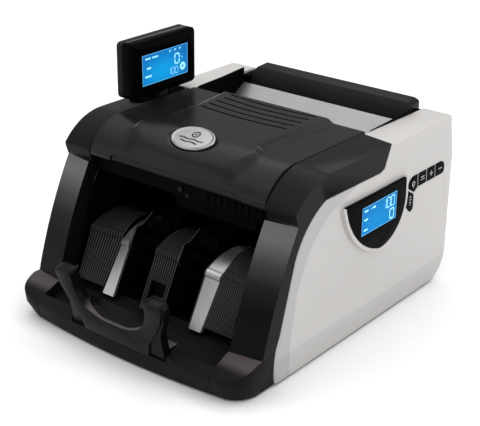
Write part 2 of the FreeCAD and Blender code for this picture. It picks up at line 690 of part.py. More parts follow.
def belt(first, second, plane):
    """Flat belt round two pulleys given as (y, z, radius), just clear of both."""
    x0, x1 = BELT_X[plane] - 1.4, BELT_X[plane] + 1.4
    (ya, za, ra), (yb, zb, rb) = first, second
    length = sqrt((yb - ya) ** 2 + (zb - za) ** 2)
    uy, uz = (yb - ya) / length, (zb - za) / length
    lean = (ra - rb) / length
    rise = sqrt(1 - lean * lean)

    def loop(grow):
        corners = []
        for (y, z, r), side in ((first, 1), (second, 1), (second, -1), (first, -1)):
            corners.append((y + (r + grow) * (uy * lean - side * uz * rise),
                            z + (r + grow) * (uz * lean + side * uy * rise)))
        ends = [rod_x(x0, x1, y, z, r + grow) for y, z, r in (first, second)]
        return joined(ends + [side_prism(corners, x0, x1)])
    return loop(1.5).cut(loop(0.35))


MOTOR_PULLEY_R = 6.0
FEED_PULLEYS_R = (14.0, 12.0, 10.0)      # to the motor, the exit shaft and the pickup shaft
EXIT_PULLEYS_R = (8.0, 8.0)              # to the impellers and from the feed shaft
IMPELLER_PULLEY_R = 14.0
PICKUP_PULLEY_R = 10.0


def motor():
    can = rounded(rod_x(35, 93, MOTOR_Y, MOTOR_Z, 21), 2.0, lambda c: True)
    return mirrored(joined([can, rod_x(92.9, CLEAR + 2.2, MOTOR_Y, MOTOR_Z, 7)]))


def motor_pulley():
    shaft = rod_x(BELT_X[0] - 2.2, -CLEAR - 2.4, MOTOR_Y, MOTOR_Z, 2.5)
    return joined([shaft, pulley(MOTOR_Y, MOTOR_Z, MOTOR_PULLEY_R, 0)])


def drive_belts():
    feed = [(FEED_Y, FEED_Z, r) for r in FEED_PULLEYS_R]
    return Part.makeCompound([
        belt((MOTOR_Y, MOTOR_Z, MOTOR_PULLEY_R), feed[0], 0),
        belt(feed[1], (EXIT_Y, EXIT_Z, EXIT_PULLEYS_R[1]), 1),
        belt(feed[2], (PICKUP_Y, PICKUP_Z, PICKUP_PULLEY_R), 2),
        belt((EXIT_Y, EXIT_Z, EXIT_PULLEYS_R[0]), (IMPELLER_Y, IMPELLER_Z, IMPELLER_PULLEY_R), 0),
    ])


def driven_shaft(y, z, right_end, pulleys):
    """Shaft along X with its pulleys, given as (radius, belt plane)."""
    outer = BELT_X[max(plane for _, plane in pulleys)] - 3
    return joined([rod_x(outer, right_end, y, z, 4)] + [pulley(y, z, r, plane) for r, plane in pulleys])


def bearings():
    found = []
    for y, z in SHAFTS:
        for side in (-1, 1):
            a, b = sorted((side * (CLEAR + 1.5), side * (CLEAR + 5)))
            found.append(tube_x(a, b, y, z, 7.0, 4.06))
    return Part.makeCompound(found)


def encoder_disc():
    disc = tube_x(103, 104, FEED_Y, FEED_Z, 15, 4.0)
    slots = []
    for i in range(16):
        slot = box(102, 105, FEED_Y + 10, FEED_Y + 13.5, FEED_Z - 0.7, FEED_Z + 0.7)
        slots.append(turned_x(slot, FEED_Y, FEED_Z, 22.5 * i))
    return disc.cut(slots)


def control_board():
    board = box(106, 107.6, -20, 120, 20, 78)
    chips = [box(107.6, 110.4, y, y + 14, 40, 54) for y in (0, 30, 70)]
    pillars = [rod_x(CLEAR + 4, 106, y, z, 3) for y in (-12, 112) for z in (26, 72)]
    return joined([board] + chips + pillars)


def power_board():
    board = box(5, 85, 75, 140, 12, 13.6)
    posts = [rod_z(5.5, 12, x, y, 3) for x in (10, 80) for y in (80, 135)]
    coil = box(15, 45, 85, 110, 13.6, 38)
    caps = [rod_z(13.6, 34, x, 124, 7) for x in (20, 38, 56)]
    return joined([board, coil] + posts + caps)


# ---------------------------------------------------------------- customer display
def display_block(x0, x1, grow):
    _, length, height = DISPLAY_SIZE
    body = box(x0, x1, DISPLAY_Y - length / 2 - grow, DISPLAY_Y + length / 2 + grow,
               DISPLAY_BASE_Z - grow, DISPLAY_BASE_Z + height + grow)
    return rounded(body, 4.5, lambda c: abs(c.x - (x0 + x1) / 2) < 0.01)


DISPLAY_BACK_X = DISPLAY_X - DISPLAY_SIZE[0] / 2
DISPLAY_FACE_X = DISPLAY_X + DISPLAY_SIZE[0] / 2
SCREEN_Y = (DISPLAY_Y - 29.5, DISPLAY_Y + 31.5)
SCREEN_Z = (DISPLAY_BASE_Z + 10.5, DISPLAY_BASE_Z + 39)


def display_shell():
    """Rear shell of the customer display with the neck it turns on."""
    neck = [rod_z(TOP_Z - 0.3, DISPLAY_BASE_Z, DISPLAY_X, DISPLAY_Y, 7.5),
            rod_z(TOP_Z - 0.3, TOP_Z + 1.6, DISPLAY_X, DISPLAY_Y, 9.5)]
    body = display_block(DISPLAY_BACK_X, DISPLAY_BACK_X + 7.5, 0)
    body = rounded(body, 2.2, lambda c: c.x < DISPLAY_BACK_X + 0.01)
    return joined([body.cut(display_block(DISPLAY_BACK_X + 2, DISPLAY_BACK_X + 9, -2.2))] + neck)


def display_front():
    """Front shell with a bevelled border and a stepped joint to the rear shell."""
    body = display_block(DISPLAY_BACK_X + 8.1, DISPLAY_FACE_X, 0)
    body = body.makeChamfer(1.8, [e for e in body.Edges if e.CenterOfMass.x > DISPLAY_FACE_X - 0.01])
    spigot = display_block(DISPLAY_BACK_X + 6, DISPLAY_BACK_X + 8.2, -2.5)
    room = display_block(DISPLAY_BACK_X + 4, DISPLAY_FACE_X - 2, -4.2)
    window = box(DISPLAY_FACE_X - 5, DISPLAY_FACE_X + 1, SCREEN_Y[0], SCREEN_Y[1], SCREEN_Z[0], SCREEN_Z[1])
    return joined([body, spigot]).cut([room, window])


def display_lcd():
    return box(DISPLAY_FACE_X - 4, DISPLAY_FACE_X - 0.4, SCREEN_Y[0] + 0.1, SCREEN_Y[1] - 0.1,
               SCREEN_Z[0] + 0.1, SCREEN_Z[1] - 0.1)


def display_foot():
    """Low foot screwed to the left shoulder."""
    low, high = 162.6, TOP_Z - 0.5
    foot = box(DISPLAY_X - 9.5, DISPLAY_X + 9.5, DISPLAY_Y - 30, DISPLAY_Y + 30, low, high)
    foot = rounded(foot, 5, lambda c: abs(c.z - (low + high) / 2) < 0.01)
    return foot.cut(mirrored(front_frame()))


def cover_screws():
    """Pan-head screws at the back."""
    return Part.makeCompound([joined([rod_y(155, 156.8, x, z, 3.2), rod_y(145, 155.1, x, z, 1.5)])
                              for x, z in COVER_SCREWS])


# ---------------------------------------------------------------- write the nodes
def nodes():
    """Every node with its shape; parts that belong to one shaft share its axis."""
    right_end = CLEAR + 6
    motor_bore = (MOTOR_Y, MOTOR_Z, 7.1)
    right_frame, right_block = front_frame(), stacker_block_side()
    made = {
        "base_tray": base_tray(),
        "foot_pads": foot_pads(),
        "frame_plates": Part.makeCompound([mirrored(frame_plate(BORES + [motor_bore])),
                                           frame_plate(BORES)]),
        "left_cover": mirrored(plain_side_cover()),
        "right_cover": right_cover(),
        "left_front_frame": mirrored(right_frame),
        "right_front_frame": right_frame,
        "rear_panel": rear_panel(),
        "cover_screws": cover_screws(),
        "hopper_bar": hopper_bar(),
        "hopper_plate": hopper_plate(),
        "hopper_walls": both_sides(hopper_wall()),
        "lid": lid(),
        "lid_badge": badge(),
        "lid_hinge_pins": hinge_pins(),
        "note_stop": note_stop(),
        "left_stacker_block": mirrored(right_block),
        "right_stacker_block": right_block,
        "centre_stacker_block": stacker_block_centre(),
        "guide_strips": both_sides(guide_strip()),
        "note_sensors": note_sensors(),
        "note_strippers": note_strippers(),
        "stacker_floor": stacker_floor(),
        "stacker_back": stacker_back(),
        "exit_beam": exit_beam(),
        "impeller_shaft": driven_shaft(IMPELLER_Y, IMPELLER_Z, right_end, [(IMPELLER_PULLEY_R, 0)]),
        "impellers": both_sides(impeller(17, 37)),
        "exit_shaft": driven_shaft(EXIT_Y, EXIT_Z, right_end,
                                   [(r, i) for i, r in enumerate(EXIT_PULLEYS_R)]),
        "exit_rollers": exit_rollers(),
        "pinch_rollers": pinch_rollers(),
        "feed_shaft": driven_shaft(FEED_Y, FEED_Z, 106, [(r, i) for i, r in enumerate(FEED_PULLEYS_R)]),
        "feed_rollers": feed_rollers(),
        "pickup_shaft": driven_shaft(PICKUP_Y, PICKUP_Z, right_end, [(PICKUP_PULLEY_R, 2)]),
        "pickup_rollers": pickup_rollers(),
        "retard_block": retard_block(),
        "lower_guide": lower_guide(),
        "sensor_bar": sensor_bar(),
        "shaft_bearings": bearings(),
        "encoder_disc": encoder_disc(),
        "feed_motor": motor(),
        "motor_pulley": motor_pulley(),
        "drive_belts": drive_belts(),
        "power_board": power_board(),
        "control_board": control_board(),
        "power_inlet": power_inlet(),
        "switch_frame": switch_frame(),
        "switch_rocker": switch_rocker(),
        "gap_knob": gap_knob(),
        "side_boards": side_boards(),
        "display_bezel": display_bezel(),
        "side_lcd": side_lcd(),
        "display_foot": display_foot(),
        "display_shell": display_shell(),
        "display_front": display_front(),
        "display_lcd": display_lcd(),
    }
    for number, outline in enumerate(KEY_OUTLINES, 1):
        made["key_%d" % number] = key(outline)
    return made


os.makedirs("parts", exist_ok=True)
for name, shape in nodes().items():
    shape.exportStep("parts/%s.step" % name)
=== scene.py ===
import math
import bmesh
import bpy
import numpy as np
from mathutils import Matrix, Vector


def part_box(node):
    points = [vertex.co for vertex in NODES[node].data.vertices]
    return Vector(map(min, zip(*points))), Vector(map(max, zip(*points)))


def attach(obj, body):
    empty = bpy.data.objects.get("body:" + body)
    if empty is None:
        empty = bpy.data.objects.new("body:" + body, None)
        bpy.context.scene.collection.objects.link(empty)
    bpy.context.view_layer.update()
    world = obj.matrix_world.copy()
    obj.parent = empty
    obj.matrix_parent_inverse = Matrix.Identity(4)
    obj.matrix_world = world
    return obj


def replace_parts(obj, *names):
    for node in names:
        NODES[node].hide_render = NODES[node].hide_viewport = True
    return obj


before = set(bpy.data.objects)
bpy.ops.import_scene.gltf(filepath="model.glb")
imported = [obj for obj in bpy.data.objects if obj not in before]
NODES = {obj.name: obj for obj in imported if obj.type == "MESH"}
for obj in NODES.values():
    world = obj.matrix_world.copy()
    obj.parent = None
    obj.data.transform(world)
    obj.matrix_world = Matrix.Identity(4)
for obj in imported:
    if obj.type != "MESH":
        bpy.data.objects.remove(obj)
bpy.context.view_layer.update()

# Banknote counter.  +Z is up, the stacker side faces -Y and +X is the machine's right.  The frame is
# in metres.  The pieces modelled here are drawn in millimetres.
MM = 0.001


# ---------------------------------------------------------------- node trees
class Tree:
    """A node tree with short calls for the nodes the materials use."""

    def __init__(self, owner):
        owner.use_nodes = True
        self.nodes = owner.node_tree.nodes
        self.links = owner.node_tree.links

    def add(self, kind, settings=None, **inputs):
        node = self.nodes.new(kind)
        for key, value in (settings or {}).items():
            setattr(node, key, value)
        for key, value in inputs.items():
            socket = node.inputs[key.replace("_", " ")]
            if hasattr(value, "is_output"):
                self.links.new(value, socket)
            else:
                socket.default_value = value
        return node

    def place(self, stretch=(1, 1, 1)):
        """Position on the object, in metres, stretched along the axes."""
        source = self.add("ShaderNodeTexCoord").outputs["Object"]
        return self.add("ShaderNodeMapping", Vector=source, Scale=stretch).outputs[0]

    def noise(self, scale, detail=2.0, stretch=(1, 1, 1), rough=0.5):
        made = self.add("ShaderNodeTexNoise", Vector=self.place(stretch), Scale=scale, Detail=detail,
                        Roughness=rough)
        return made.outputs["Fac"]

    def along(self, source, axis):
        """One axis of a texture coordinate, such as Object (position in metres) or Normal."""
        where = self.add("ShaderNodeTexCoord").outputs[source]
        return self.add("ShaderNodeSeparateXYZ", Vector=where).outputs[axis]

    def calculate(self, operation, *values):
        """Result of a maths operation on linked values."""
        made = self.add("ShaderNodeMath", {"operation": operation})
        for socket, value in zip(made.inputs, values):
            self.links.new(value, socket)
        return made.outputs[0]

    def grade(self, value, low, high, start=0.0, end=1.0, blend="LINEAR"):
        """Value from start..end spread over low..high."""
        made = self.add("ShaderNodeMapRange", {"interpolation_type": blend}, Value=value)
        for socket, limit in (("From Min", start), ("From Max", end), ("To Min", low), ("To Max", high)):
            made.inputs[socket].default_value = limit
        return made.outputs[0]

    def ramp(self, value, stops):
        """Colour of a value on a ramp through (position, colour) stops."""
        made = self.add("ShaderNodeValToRGB", Fac=value)
        elements = made.color_ramp.elements
        elements[0].position, elements[0].color = stops[0]
        elements[1].position, elements[1].color = stops[-1]
        for position, colour in stops[1:-1]:
            elements.new(position).color = colour
        return made.outputs["Color"]

    def mix(self, factor, first, second):
        """Blend of two colours."""
        made = self.add("ShaderNodeMix", {"data_type": "RGBA"})
        for index, value in ((0, factor), (6, first), (7, second)):
            if hasattr(value, "is_output"):
                self.links.new(value, made.inputs[index])
            else:
                made.inputs[index].default_value = value
        return made.outputs[2]

    def multiply(self, colour, tone):
        """Colour multiplied by a colour or a value."""
        made = self.add("ShaderNodeMix", {"data_type": "RGBA", "blend_type": "MULTIPLY"})
        made.inputs[0].default_value = 1.0
        self.links.new(colour, made.inputs[6])
        self.links.new(tone, made.inputs[7])
        return made.outputs[2]

    def bump(self, height, distance, strength=1.0, under=None):
        made = self.add("ShaderNodeBump", Height=height, Distance=distance, Strength=strength)
        if under:
            self.links.new(under, made.inputs["Normal"])
        return made.outputs[0]


def grey(value):
    return (value, value, value, 1.0)


def shade(colour, factor):
    return tuple(c * factor for c in colour) + (1.0,)


def finish_material(name, uniform):
    """New material: its tree and its shader, with the sockets that are the same all over set."""
    made = bpy.data.materials.new("m_" + name)
    tree = Tree(made)
    shader = tree.nodes["Principled BSDF"]
    for key, value in uniform.items():
        shader.inputs[key].default_value = value
    return made, tree, shader


def moulded(name, colour, rough, grain, depth, **uniform):
    """Moulded plastic: fine grain of the given size and depth, cloudy gloss, slight shade differences."""
    made, tree, shader = finish_material(name, uniform)
    fine = tree.noise(1 / grain, 3.0)
    broad = tree.noise(22.0, 2.0)
    tree.links.new(tree.mix(broad, shade(colour, 0.94), shade(colour, 1.06)), shader.inputs["Base Color"])
    tree.links.new(tree.grade(tree.noise(60.0, 4.0), rough - 0.04, rough + 0.05), shader.inputs["Roughness"])
    waviness = tree.bump(broad, 0.00025, 0.15)
    tree.links.new(tree.bump(fine, depth, 1.0, waviness), shader.inputs["Normal"])
    return made


def brushed(name, colour, rough, stretch, depth=0.00002, **uniform):
    """Metal with fine parallel scratches, long along the axis whose stretch is small."""
    uniform.setdefault("Metallic", 1.0)
    made, tree, shader = finish_material(name, uniform)
    lines = tree.noise(900.0, 4.0, stretch, 0.7)
    broad = tree.noise(35.0, 2.0)
    tree.links.new(tree.mix(lines, shade(colour, 0.82), shade(colour, 1.08)), shader.inputs["Base Color"])
    tree.links.new(tree.grade(broad, rough - 0.05, rough + 0.07), shader.inputs["Roughness"])
    tree.links.new(tree.bump(lines, depth, 0.8), shader.inputs["Normal"])
    return made


# How much of the pale studio the dark plastics mirror, from the lid down to the rubber.
SOFT_GLOSS = {"Specular IOR Level": 0.14}
LOW_GLOSS = {"Specular IOR Level": 0.07}
DULL = {"Specular IOR Level": 0.012}

MATERIALS = {
    "black_plastic": moulded("black_plastic", (0.013, 0.0105, 0.0112), 0.34, 0.0005, 0.000012, **LOW_GLOSS),
    "lid_black": moulded("lid_black", (0.009, 0.0072, 0.0077), 0.24, 0.0005, 0.00001, **SOFT_GLOSS),
    "dark_plastic": moulded("dark_plastic", (0.003, 0.0026, 0.0028), 0.5, 0.0006, 0.00003, **DULL),
    "rubber": moulded("rubber", (0.0015, 0.0015, 0.0015), 0.8, 0.0009, 0.00006, **DULL),
    "key_black": moulded("key_black", (0.004, 0.0038, 0.004), 0.4, 0.0005, 0.00002, **DULL),
    "gloss_black": moulded("gloss_black", (0.0015, 0.0015, 0.0017), 0.12, 0.0008, 0.000003, **DULL),
    "sensor_window": moulded("sensor_window", (0.008, 0.005, 0.005), 0.1, 0.001, 0.000003, **LOW_GLOSS),
    "zinc_steel": brushed("zinc_steel", (0.55, 0.56, 0.57), 0.38, (1, 0.3, 0.3)),
    "shaft_steel": brushed("shaft_steel", (0.62, 0.62, 0.63), 0.2, (2, 0.05, 0.05)),
    "stainless": brushed("stainless", (0.44, 0.44, 0.45), 0.42, (0.02, 1, 1)),
    "plate_steel": brushed("plate_steel", (0.3, 0.3, 0.305), 0.42, (0.02, 1, 1)),
    "badge_dark": brushed("badge_dark", (0.07, 0.068, 0.07), 0.35, (0.03, 1, 1)),
    "badge_metal": brushed("badge_metal", (0.34, 0.335, 0.34), 0.28, (0.03, 1, 1)),
    "motor_can": brushed("motor_can", (0.4, 0.4, 0.42), 0.35, (0.1, 1, 1)),
    "brass_pulley": brushed("brass_pulley", (0.6, 0.43, 0.18), 0.3, (2, 0.05, 0.05)),
    "circuit_board": moulded("circuit_board", (0.01, 0.12, 0.05), 0.35, 0.002, 0.00003),
}


def painted_light_by_facing(name, plain, painted_colour, axis, turned, past, rough):
    """Black plastic with a second colour painted where it is turned along an axis and lies past a height:
    painted light on lit faces, painted shade on shaded ones.
    """
    made, tree, shader = finish_material(name, {"Roughness": rough, **LOW_GLOSS})
    facing = tree.calculate("ABSOLUTE", tree.along("Normal", axis))
    facing = tree.grade(facing, 0.0, 1.0, *turned, "SMOOTHSTEP")
    height = tree.grade(tree.along("Object", "Z"), 0.0, 1.0, *past, "SMOOTHSTEP")
    # Where the painted light or shade goes: faces turned along the axis that lie past the height.
    painted_where = tree.calculate("MULTIPLY", facing, height)
    cloudy = tree.mix(tree.noise(30.0, 3.0), shade(painted_colour, 0.88), shade(painted_colour, 1.1))
    tree.links.new(tree.mix(painted_where, shade(plain, 1.0), cloudy), shader.inputs["Base Color"])
    tree.links.new(tree.bump(tree.noise(1800.0, 3.0), 0.00002), shader.inputs["Normal"])
    return made


# Rear edge of the band round the front of the side covers, as (z, y) in millimetres; the band is painted
# darker as shade, with a painted shadow line along this edge.
BAND_EDGE = ((0, -83.5), (32, -83.5), (76, -75), (103, -62), (120.4, -48), (131, -30), (140, 0))


def band_edge(tree):
    """Depth of the band's rear edge at the height of the point, in metres."""
    top, reach = BAND_EDGE[-1][0], 100
    height = tree.grade(tree.along("Object", "Z"), 0.0, 1.0, 0.0, top * MM)
    edge = tree.add("ShaderNodeFloatCurve", Value=height)
    bend = edge.mapping.curves[0].points
    places = [(z / top, 1 + y / reach) for z, y in BAND_EDGE]
    bend[0].location, bend[1].location = places[0], places[-1]
    for place in places[1:-1]:
        bend.new(*place)
    for point in bend:
        point.handle_type = "VECTOR"
    edge.mapping.update()
    return tree.grade(edge.outputs[0], -reach * MM, 0.0)


def cover_white_painted_shade():
    """Pale cover plastic with painted shade: the band round the front edge painted darker, a painted shadow
    line beside it, and the foot painted darker.
    """
    made, tree, shader = finish_material("cover_white_painted_shade", {})
    behind = tree.calculate("SUBTRACT", tree.along("Object", "Y"), band_edge(tree))
    # Painted shadow line just behind the band's edge, where the step casts shade.
    line = [(position, (tone, tone, tone * 1.01, 1)) for position, tone in ((0.5, 0.58), (0.54, 0.72))]
    # Painted shade: the band in front of the edge is darker than the cover behind it.
    across = tree.ramp(tree.grade(behind, 0.0, 1.0, -0.01, 0.01),
                       [(0.49, (0.79, 0.785, 0.8, 1)), *line, (0.64, (1.0, 0.99, 0.975, 1))])
    # Painted shade on the foot of the cover, below the crease.
    foot = tree.grade(tree.along("Object", "Z"), 0.9, 1.0, 0.0225, 0.0265, "SMOOTHSTEP")
    colour = tree.mix(tree.noise(22.0, 2.0), (0.49, 0.48, 0.476, 1), (0.515, 0.505, 0.5, 1))
    colour = tree.multiply(tree.multiply(colour, across), foot)
    tree.links.new(colour, shader.inputs["Base Color"])
    tree.links.new(tree.grade(tree.noise(60.0, 4.0), 0.38, 0.48), shader.inputs["Roughness"])
    tree.links.new(tree.bump(tree.noise(1400.0, 3.0), 0.00003), shader.inputs["Normal"])
    return made


def pillar_painted_sheen():
    """Black frame with a painted sheen on its front faces: a grey painted reflection under the lip, fading
    into painted shade towards the foot.
    """
    made, tree, shader = finish_material("pillar_painted_sheen", {"Roughness": 0.3, **LOW_GLOSS})
    height = tree.grade(tree.along("Object", "Z"), 0.0, 1.0, 0.03, 0.1315)
    # Painted sheen: grey stops that stand for a reflection on the front faces.
    painted_sheen = [(position, (tone, tone * 0.97, tone * 0.99, 1))
             for position, tone in ((0.55, 0.012), (0.70, 0.045), (0.88, 0.125), (0.985, 0.125))]
    foot, top = (0.003, 0.0025, 0.0027, 1), (0.007, 0.0058, 0.0062, 1)
    # Painted sheen fading into painted shade from the lip down to the foot.
    painted_sheen_and_shade = tree.ramp(height, [(0.36, foot), *painted_sheen, (1.0, top)])
    front = tree.grade(tree.along("Normal", "Y"), 0.0, 1.0, -0.5, -0.8, "SMOOTHSTEP")
    plain = tree.mix(tree.noise(22.0, 2.0), (0.0065, 0.0053, 0.0057, 1), (0.008, 0.0065, 0.007, 1))
    tree.links.new(tree.mix(front, plain, painted_sheen_and_shade), shader.inputs["Base Color"])
    tree.links.new(tree.bump(tree.noise(2000.0, 3.0), 0.000012), shader.inputs["Normal"])
    return made


def glowing_lcd(name, bright, dim):
    """Blue backlit screen: brightest below the middle, with a faint unevenness."""
    made, tree, shader = finish_material(name, {"Roughness": 0.4, "Emission Strength": 1.0, **DULL})
    where = tree.add("ShaderNodeTexCoord").outputs["Generated"]
    flat = tree.add("ShaderNodeMapping", Vector=where, Location=(0, -0.45, -0.3), Scale=(0, 1, 0.9))
    reach = tree.add("ShaderNodeVectorMath", {"operation": "LENGTH"}, Vector=flat.outputs[0])
    away = tree.grade(reach.outputs["Value"], 0.0, 1.0, 0.0, 0.75, "SMOOTHSTEP")
    uneven = tree.grade(tree.noise(120.0, 2.0), 0.93, 1.07)
    glow = tree.multiply(tree.mix(away, bright, dim), uneven)
    tree.links.new(glow, shader.inputs["Emission Color"])
    shader.inputs["Base Color"].default_value = (0.01, 0.04, 0.12, 1)
    return made


def lit_mark(name, colour, strength):
    """Pale lit or printed mark, slightly uneven."""
    made, tree, shader = finish_material(name, {"Roughness": 0.5, "Emission Strength": strength})
    uneven = tree.mix(tree.noise(400.0, 2.0), shade(colour, 0.9), shade(colour, 1.0))
    tree.links.new(uneven, shader.inputs["Emission Color"])
    tree.links.new(uneven, shader.inputs["Base Color"])
    return made


MATERIALS["pillar_painted_sheen"] = pillar_painted_sheen()
# Tray: faces turned up, above the height, painted lighter brown-grey as painted light from above.
MATERIALS["tray_black_painted_light"] = painted_light_by_facing("tray_black_painted_light", (0.006, 0.005, 0.0053), (0.068, 0.058, 0.057), "Z",
                                turned=(0.55, 0.85), past=(0.0262, 0.0300), rough=0.5)
# Stop: faces turned up low down, on the scoop, painted lighter as painted light from above.
MATERIALS["stop_black_painted_light"] = painted_light_by_facing("stop_black_painted_light", (0.004, 0.0033, 0.0035), (0.085, 0.074, 0.071), "Z",
                                turned=(0.6, 0.9), past=(0.060, 0.052), rough=0.25)
# Ribs: faces turned along X painted near black as painted shade; the other rib faces keep a lighter colour
# as painted light.
MATERIALS["ribbed_plastic"] = painted_light_by_facing("ribbed_plastic", (0.034, 0.03, 0.031), (0.003, 0.0025, 0.0026), "X",
                                    turned=(0.3, 0.7), past=(0.0, 0.001), rough=0.3)
MATERIALS["lcd_blue"] = glowing_lcd("lcd_blue", (0.001, 0.34, 0.74, 1), (0.002, 0.13, 0.42, 1))
MATERIALS["lcd_side"] = glowing_lcd("lcd_side", (0.001, 0.26, 0.6, 1), (0.002, 0.17, 0.46, 1))
MATERIALS["cover_white_painted_shade"] = cover_white_painted_shade()
MATERIALS["lcd_mark"] = lit_mark("lcd_mark", (0.3, 0.72, 0.9), 0.75)
MATERIALS["lcd_edge"] = lit_mark("lcd_edge", (0.12, 0.42, 0.7), 0.6)
MATERIALS["key_mark"] = lit_mark("key_mark", (0.5, 0.5, 0.5), 0.0)


# ---------------------------------------------------------------- carried-over nodes
def smooth_by_angle(limit):
    """Geometry nodes group that shades smooth except over edges sharper than the limit."""
    group = bpy.data.node_groups.new("smooth_by_angle", "GeometryNodeTree")
    group.interface.new_socket("Geometry", in_out="INPUT", socket_type="NodeSocketGeometry")
    group.interface.new_socket("Geometry", in_out="OUTPUT", socket_type="NodeSocketGeometry")
    start = group.nodes.new("NodeGroupInput")
    end = group.nodes.new("NodeGroupOutput")
    angle = group.nodes.new("GeometryNodeInputMeshEdgeAngle")
    sharp = group.nodes.new("FunctionNodeCompare")
    sharp.operation = "GREATER_THAN"
    sharp.inputs[1].default_value = limit
    faces = group.nodes.new("GeometryNodeSetShadeSmooth")
    edges = group.nodes.new("GeometryNodeSetShadeSmooth")
    edges.domain = "EDGE"
    edges.inputs["Shade Smooth"].default_value = False
    group.links.new(angle.outputs["Unsigned Angle"], sharp.inputs[0])
    group.links.new(start.outputs[0], faces.inputs["Geometry"])
    group.links.new(faces.outputs[0], edges.inputs["Geometry"])
    group.links.new(sharp.outputs[0], edges.inputs["Selection"])
    group.links.new(edges.outputs[0], end.inputs[0])
    return group


SMOOTH = smooth_by_angle(math.radians(32))
KEYS = ["key_%d" % number for number in range(1, 6)]
# Rounding of the edges that are seen from near, in millimetres.
EDGE_ROUND = {
    "base_tray": 0.6, "left_front_frame": 0.7, "right_front_frame": 0.7, "left_cover": 0.5,
    "right_cover": 0.4, "hopper_bar": 0.7, "hopper_walls": 0.25, "note_stop": 0.8, "display_foot": 0.4,
    "display_shell": 0.3, "display_front": 0.35, "rear_panel": 0.25, "exit_beam": 0.2,
    **dict.fromkeys(KEYS, 0.35),
}
# Nodes that don't take the material of the same name as their slot.
FINISH = {
    "base_tray": "tray_black_painted_light", "note_stop": "stop_black_painted_light", "left_front_frame": "pillar_painted_sheen",
    "right_front_frame": "pillar_painted_sheen", "left_cover": "cover_white_painted_shade", "right_cover": "cover_white_painted_shade",
    "side_lcd": "lcd_side", "display_shell": "black_plastic", "hopper_plate": "plate_steel",
}


def smoothed(made):
    made.modifiers.new("smooth", "NODES").node_group = SMOOTH
    return made


def dress(name):
    """Give a CAD node its procedural material, joined faces and rounded edges."""
    node = NODES[name]
    for slot in node.material_slots:
        slot.material = MATERIALS[FINISH.get(name, slot.material.name.split(".")[0])]
    node.data.attributes.remove(node.data.attributes["custom_normal"])
    weld = node.modifiers.new("weld", "WELD")
    weld.merge_threshold = 0.000002
    if name in EDGE_ROUND:
        bevel = node.modifiers.new("round", "BEVEL")
        bevel.width = EDGE_ROUND[name] * MM
        bevel.segments = 2
        bevel.limit_method = "ANGLE"
        bevel.angle_limit = math.radians(35)
    smoothed(node)


for node_name in NODES:
    dress(node_name)


def span(node):
    """Lowest and highest corner of a CAD node, in millimetres."""
    low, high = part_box(node)
    return low / MM, high / MM


def piece(name, verts, faces, material, body):
    """New mesh, given in millimetres, that moves with a CAD body."""
    mesh = bpy.data.meshes.new(name)
    mesh.from_pydata([tuple(c * MM for c in v) for v in verts], [], faces)
    mesh.materials.append(MATERIALS[material])
    made = bpy.data.objects.new(name, mesh)
    bpy.context.scene.collection.objects.link(made)
    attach(made, body)
    return made


def grid_faces(rows, columns, closed=False):
    """Quads between neighbouring rows and columns; closed joins the last column to the first."""
    faces = []
    for i in range(rows - 1):
        for j in range(columns if closed else columns - 1):
            k = (j + 1) % columns
            faces.append((i * columns + j, i * columns + k, (i + 1) * columns + k, (i + 1) * columns + j))
    return faces


def prism(outline, shift):
    """Solid between a closed outline and its copy moved by shift: points and faces."""
    count = len(outline)
    far = [tuple(c + d for c, d in zip(point, shift)) for point in outline]
    sides = [(i, (i + 1) % count, (i + 1) % count + count, i + count) for i in range(count)]
    return list(outline) + far, [tuple(reversed(range(count))), tuple(range(count, 2 * count))] + sides


def gathered(solids):
    """Several (points, faces) solids as one."""
    verts, faces = [], []
    for points, polygons in solids:
        faces += [tuple(i + len(verts) for i in polygon) for polygon in polygons]
        verts += points
    return verts, faces


def outward(made):
    """Turn all faces outwards."""
    work = bmesh.new()
    work.from_mesh(made.data)
    bmesh.ops.recalc_face_normals(work, faces=work.faces)
    work.to_mesh(made.data)
    work.free()
    return made


def arc(first, middle, last, count):
    """Points on the round stretch from first through middle to last."""
    (ax, ay), (bx, by), (cx, cy) = first, middle, last
    d = 2 * (ax * (by - cy) + bx * (cy - ay) + cx * (ay - by))
    a2, b2, c2 = ax * ax + ay * ay, bx * bx + by * by, cx * cx + cy * cy
    ox = (a2 * (by - cy) + b2 * (cy - ay) + c2 * (ay - by)) / d
    oy = (a2 * (cx - bx) + b2 * (ax - cx) + c2 * (bx - ax)) / d
    r = math.hypot(ax - ox, ay - oy)
    start = math.atan2(ay - oy, ax - ox)
    mid = (math.atan2(by - oy, bx - ox) - start) % (2 * math.pi)
    turn = (math.atan2(cy - oy, cx - ox) - start) % (2 * math.pi)
    if mid > turn:
        turn -= 2 * math.pi
    return [(ox + r * math.cos(start + turn * i / count), oy + r * math.sin(start + turn * i / count))
            for i in range(count + 1)]


# ---------------------------------------------------------------- lid
LID_LOW, LID_HIGH = span("lid")
LID_FLAT = span("right_front_frame")[1].z + 0.4  # the flat of the lid lies just over the shoulders
LID_WALL = 2.2
REAR_WALL = (12, 6, 1.3)  # how far the points of the rear wall lie below the flat
REAR_DROP = 0.8  # fall of the flat towards the rear
FRONT_BEND = -38  # y where the flat turns down into the front slope
LIP_DROP, CORNER_DROP = 21.6, 2.2  # lower edge of the slope below the flat, and how much more at the corners
SUNK_HALF, SUNK_DEPTH = 71.2, 1.8  # half width and depth of the sunk band under the slope
DOME_RISE = 3.4
BADGE_TILT = math.radians(19)
BADGE_DEPTH = 15.4
SEAT_MARGIN = 0.8
SLOT_COUNT, SLOT_PITCH, FIRST_SLOT = 5, 10.4, 4.4
SLOT_HALF, SLOT_WIDTH, SLOT_BOW = 46.0, 2.4, 3.6


def dome_border():
    """Plan of the raised middle of the lid, right half then left half."""
    rear = LID_HIGH.y + 25
    half = ([(61, rear)] + arc((60, LID_HIGH.y), (54.5, 15), (54, -28), 16)
            + arc((54.6, -34), (61.5, -58), (44, -71.5), 16) + arc((43, -71.8), (22, -73.6), (0, -74), 6))
    return np.array(half + [(-x, y) for x, y in reversed(half)])


